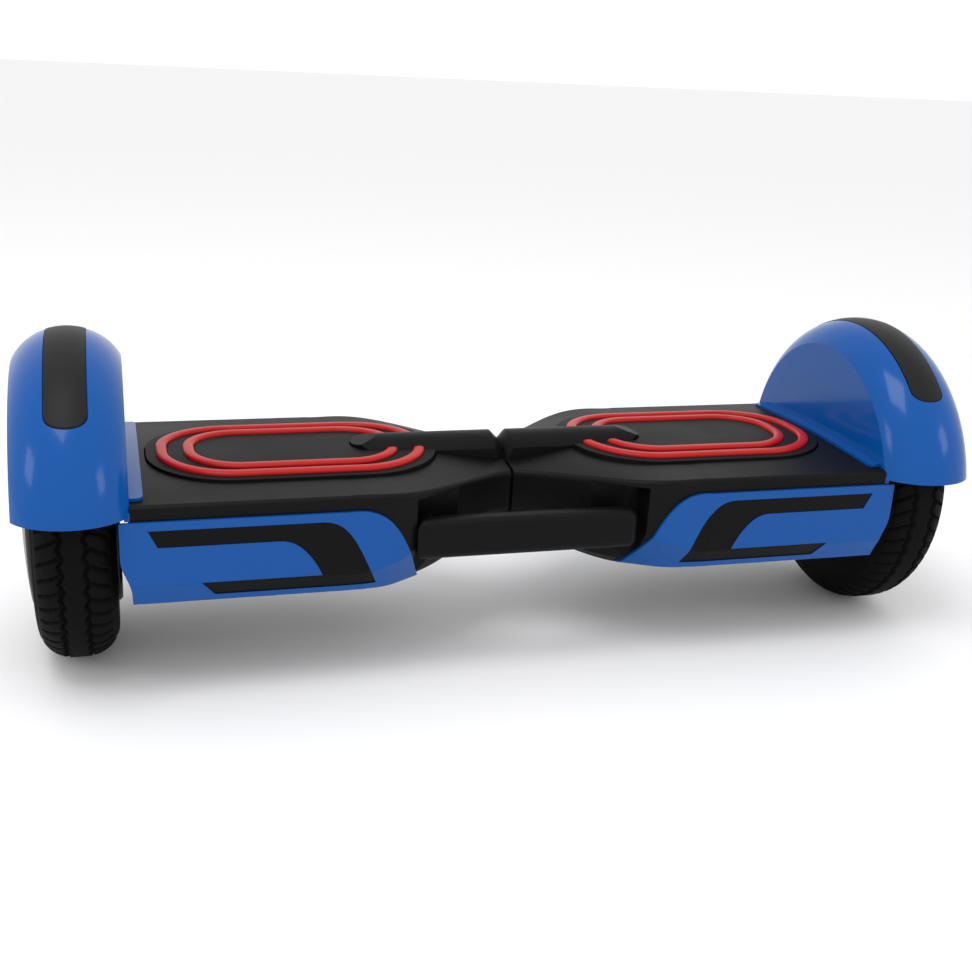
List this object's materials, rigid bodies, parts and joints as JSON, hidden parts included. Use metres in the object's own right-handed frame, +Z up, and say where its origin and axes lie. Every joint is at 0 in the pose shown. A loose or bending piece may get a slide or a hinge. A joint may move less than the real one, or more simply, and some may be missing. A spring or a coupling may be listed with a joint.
{
  "type": "self balancing hoverboard",
  "caption": "Two-wheeled self balancing hoverboard: twin halves that twist on a centre pivot, foot mats with raised oval rings, wheel fenders and a carry handle.",
  "frame": {"origin": "on the ground under the middle of the centre split", "axes": "+X to the rider's right wheel, along both wheel axles; +Y away from the carry handle; +Z up"},
  "size_m": [0.584, 0.2078, 0.1963],
  "materials": {
    "black_shell": "matte",
    "blue_shell": "gloss",
    "strip_black": "satin",
    "mat_black": "matte",
    "mat_red": "satin",
    "inner_plastic": "matte",
    "foam": "matte",
    "inlay_black": "satin",
    "cast_metal": "cast",
    "circuit_green": "gloss",
    "steel": "satin",
    "windings": "satin",
    "hub_metal": "satin",
    "tyre_black": "matte",
    "bronze": "satin",
    "handle_black": "matte",
    "battery_wrap": "satin",
    "button_grey": "satin",
    "cable_black": "matte"
  },
  "bodies": {
    "left_half": {"left_upper_shell": "black_shell", "left_lower_shell": "black_shell", "left_fender": "blue_shell", "left_fender_strip": "strip_black", "left_ridge_cover": "black_shell", "left_front_panel": "blue_shell", "left_rear_panel": "blue_shell", "left_panel_inlays": "inlay_black", "left_frame": "cast_metal", "left_sensor_board": "circuit_green", "left_axle": "steel", "left_stator": "windings", "left_axle_clamp": "cast_metal", "left_clamp_screws": "steel", "left_case_screws": "steel", "left_pad_buffers": "foam", "pivot_tube": "steel", "tube_ring": "steel", "tube_pin": "steel", "pivot_sleeve": "bronze", "carry_handle": "handle_black", "handle_screws": "steel", "battery_pack": "battery_wrap", "port_block": "inner_plastic", "centre_harness": "cable_black"},
    "right_half": {"right_upper_shell": "black_shell", "right_lower_shell": "black_shell", "right_fender": "blue_shell", "right_fender_strip": "strip_black", "right_ridge_cover": "black_shell", "right_front_panel": "blue_shell", "right_rear_panel": "blue_shell", "right_panel_inlays": "inlay_black", "right_frame": "cast_metal", "right_sensor_board": "circuit_green", "right_axle": "steel", "right_stator": "windings", "right_axle_clamp": "cast_metal", "right_clamp_screws": "steel", "right_case_screws": "steel", "right_pad_buffers": "foam", "right_pivot_bushes": "bronze", "control_board": "circuit_green"},
    "left_pad": {"left_foot_mat": "mat_black", "left_mat_rings": "mat_red", "left_pad_plungers": "inner_plastic"},
    "right_pad": {"right_foot_mat": "mat_black", "right_mat_rings": "mat_red", "right_pad_plungers": "inner_plastic"},
    "left_wheel": {"left_rotor": "hub_metal", "left_hub_cover": "hub_metal", "left_inner_cover": "hub_metal", "left_tyre": "tyre_black", "left_bearings": "steel"},
    "right_wheel": {"right_rotor": "hub_metal", "right_hub_cover": "hub_metal", "right_inner_cover": "hub_metal", "right_tyre": "tyre_black", "right_bearings": "steel"},
    "power_button": {"power_button": "button_grey"}
  },
  "joints": [
    {"name": "centre_twist", "type": "hinge", "parent": "left_half", "child": "right_half", "pos_m": [0, 0, 0.09], "axis": [1, 0, 0], "range_deg": [-8, 8]},
    {"name": "left_pad_press", "type": "slide", "parent": "left_half", "child": "left_pad", "axis": [0, 0, -1], "range_m": [0, 0.0015], "stiffness_N_per_m": 8000, "springref_m": -0.0005, "deforming": ["left_pad_buffers"]},
    {"name": "right_pad_press", "type": "slide", "parent": "right_half", "child": "right_pad", "axis": [0, 0, -1], "range_m": [0, 0.0015], "stiffness_N_per_m": 8000, "springref_m": -0.0005, "deforming": ["right_pad_buffers"]},
    {"name": "left_wheel_spin", "type": "hinge", "parent": "left_half", "child": "left_wheel", "pos_m": [-0.26175, 0, 0.09], "axis": [1, 0, 0], "continuous": true},
    {"name": "right_wheel_spin", "type": "hinge", "parent": "right_half", "child": "right_wheel", "pos_m": [0.26175, 0, 0.09], "axis": [1, 0, 0], "continuous": true},
    {"name": "power_button_press", "type": "slide", "parent": "left_half", "child": "power_button", "axis": [0, 0, 1], "range_m": [0, 0.0012], "stiffness_N_per_m": 1500, "springref_m": -0.0005}
  ]
}
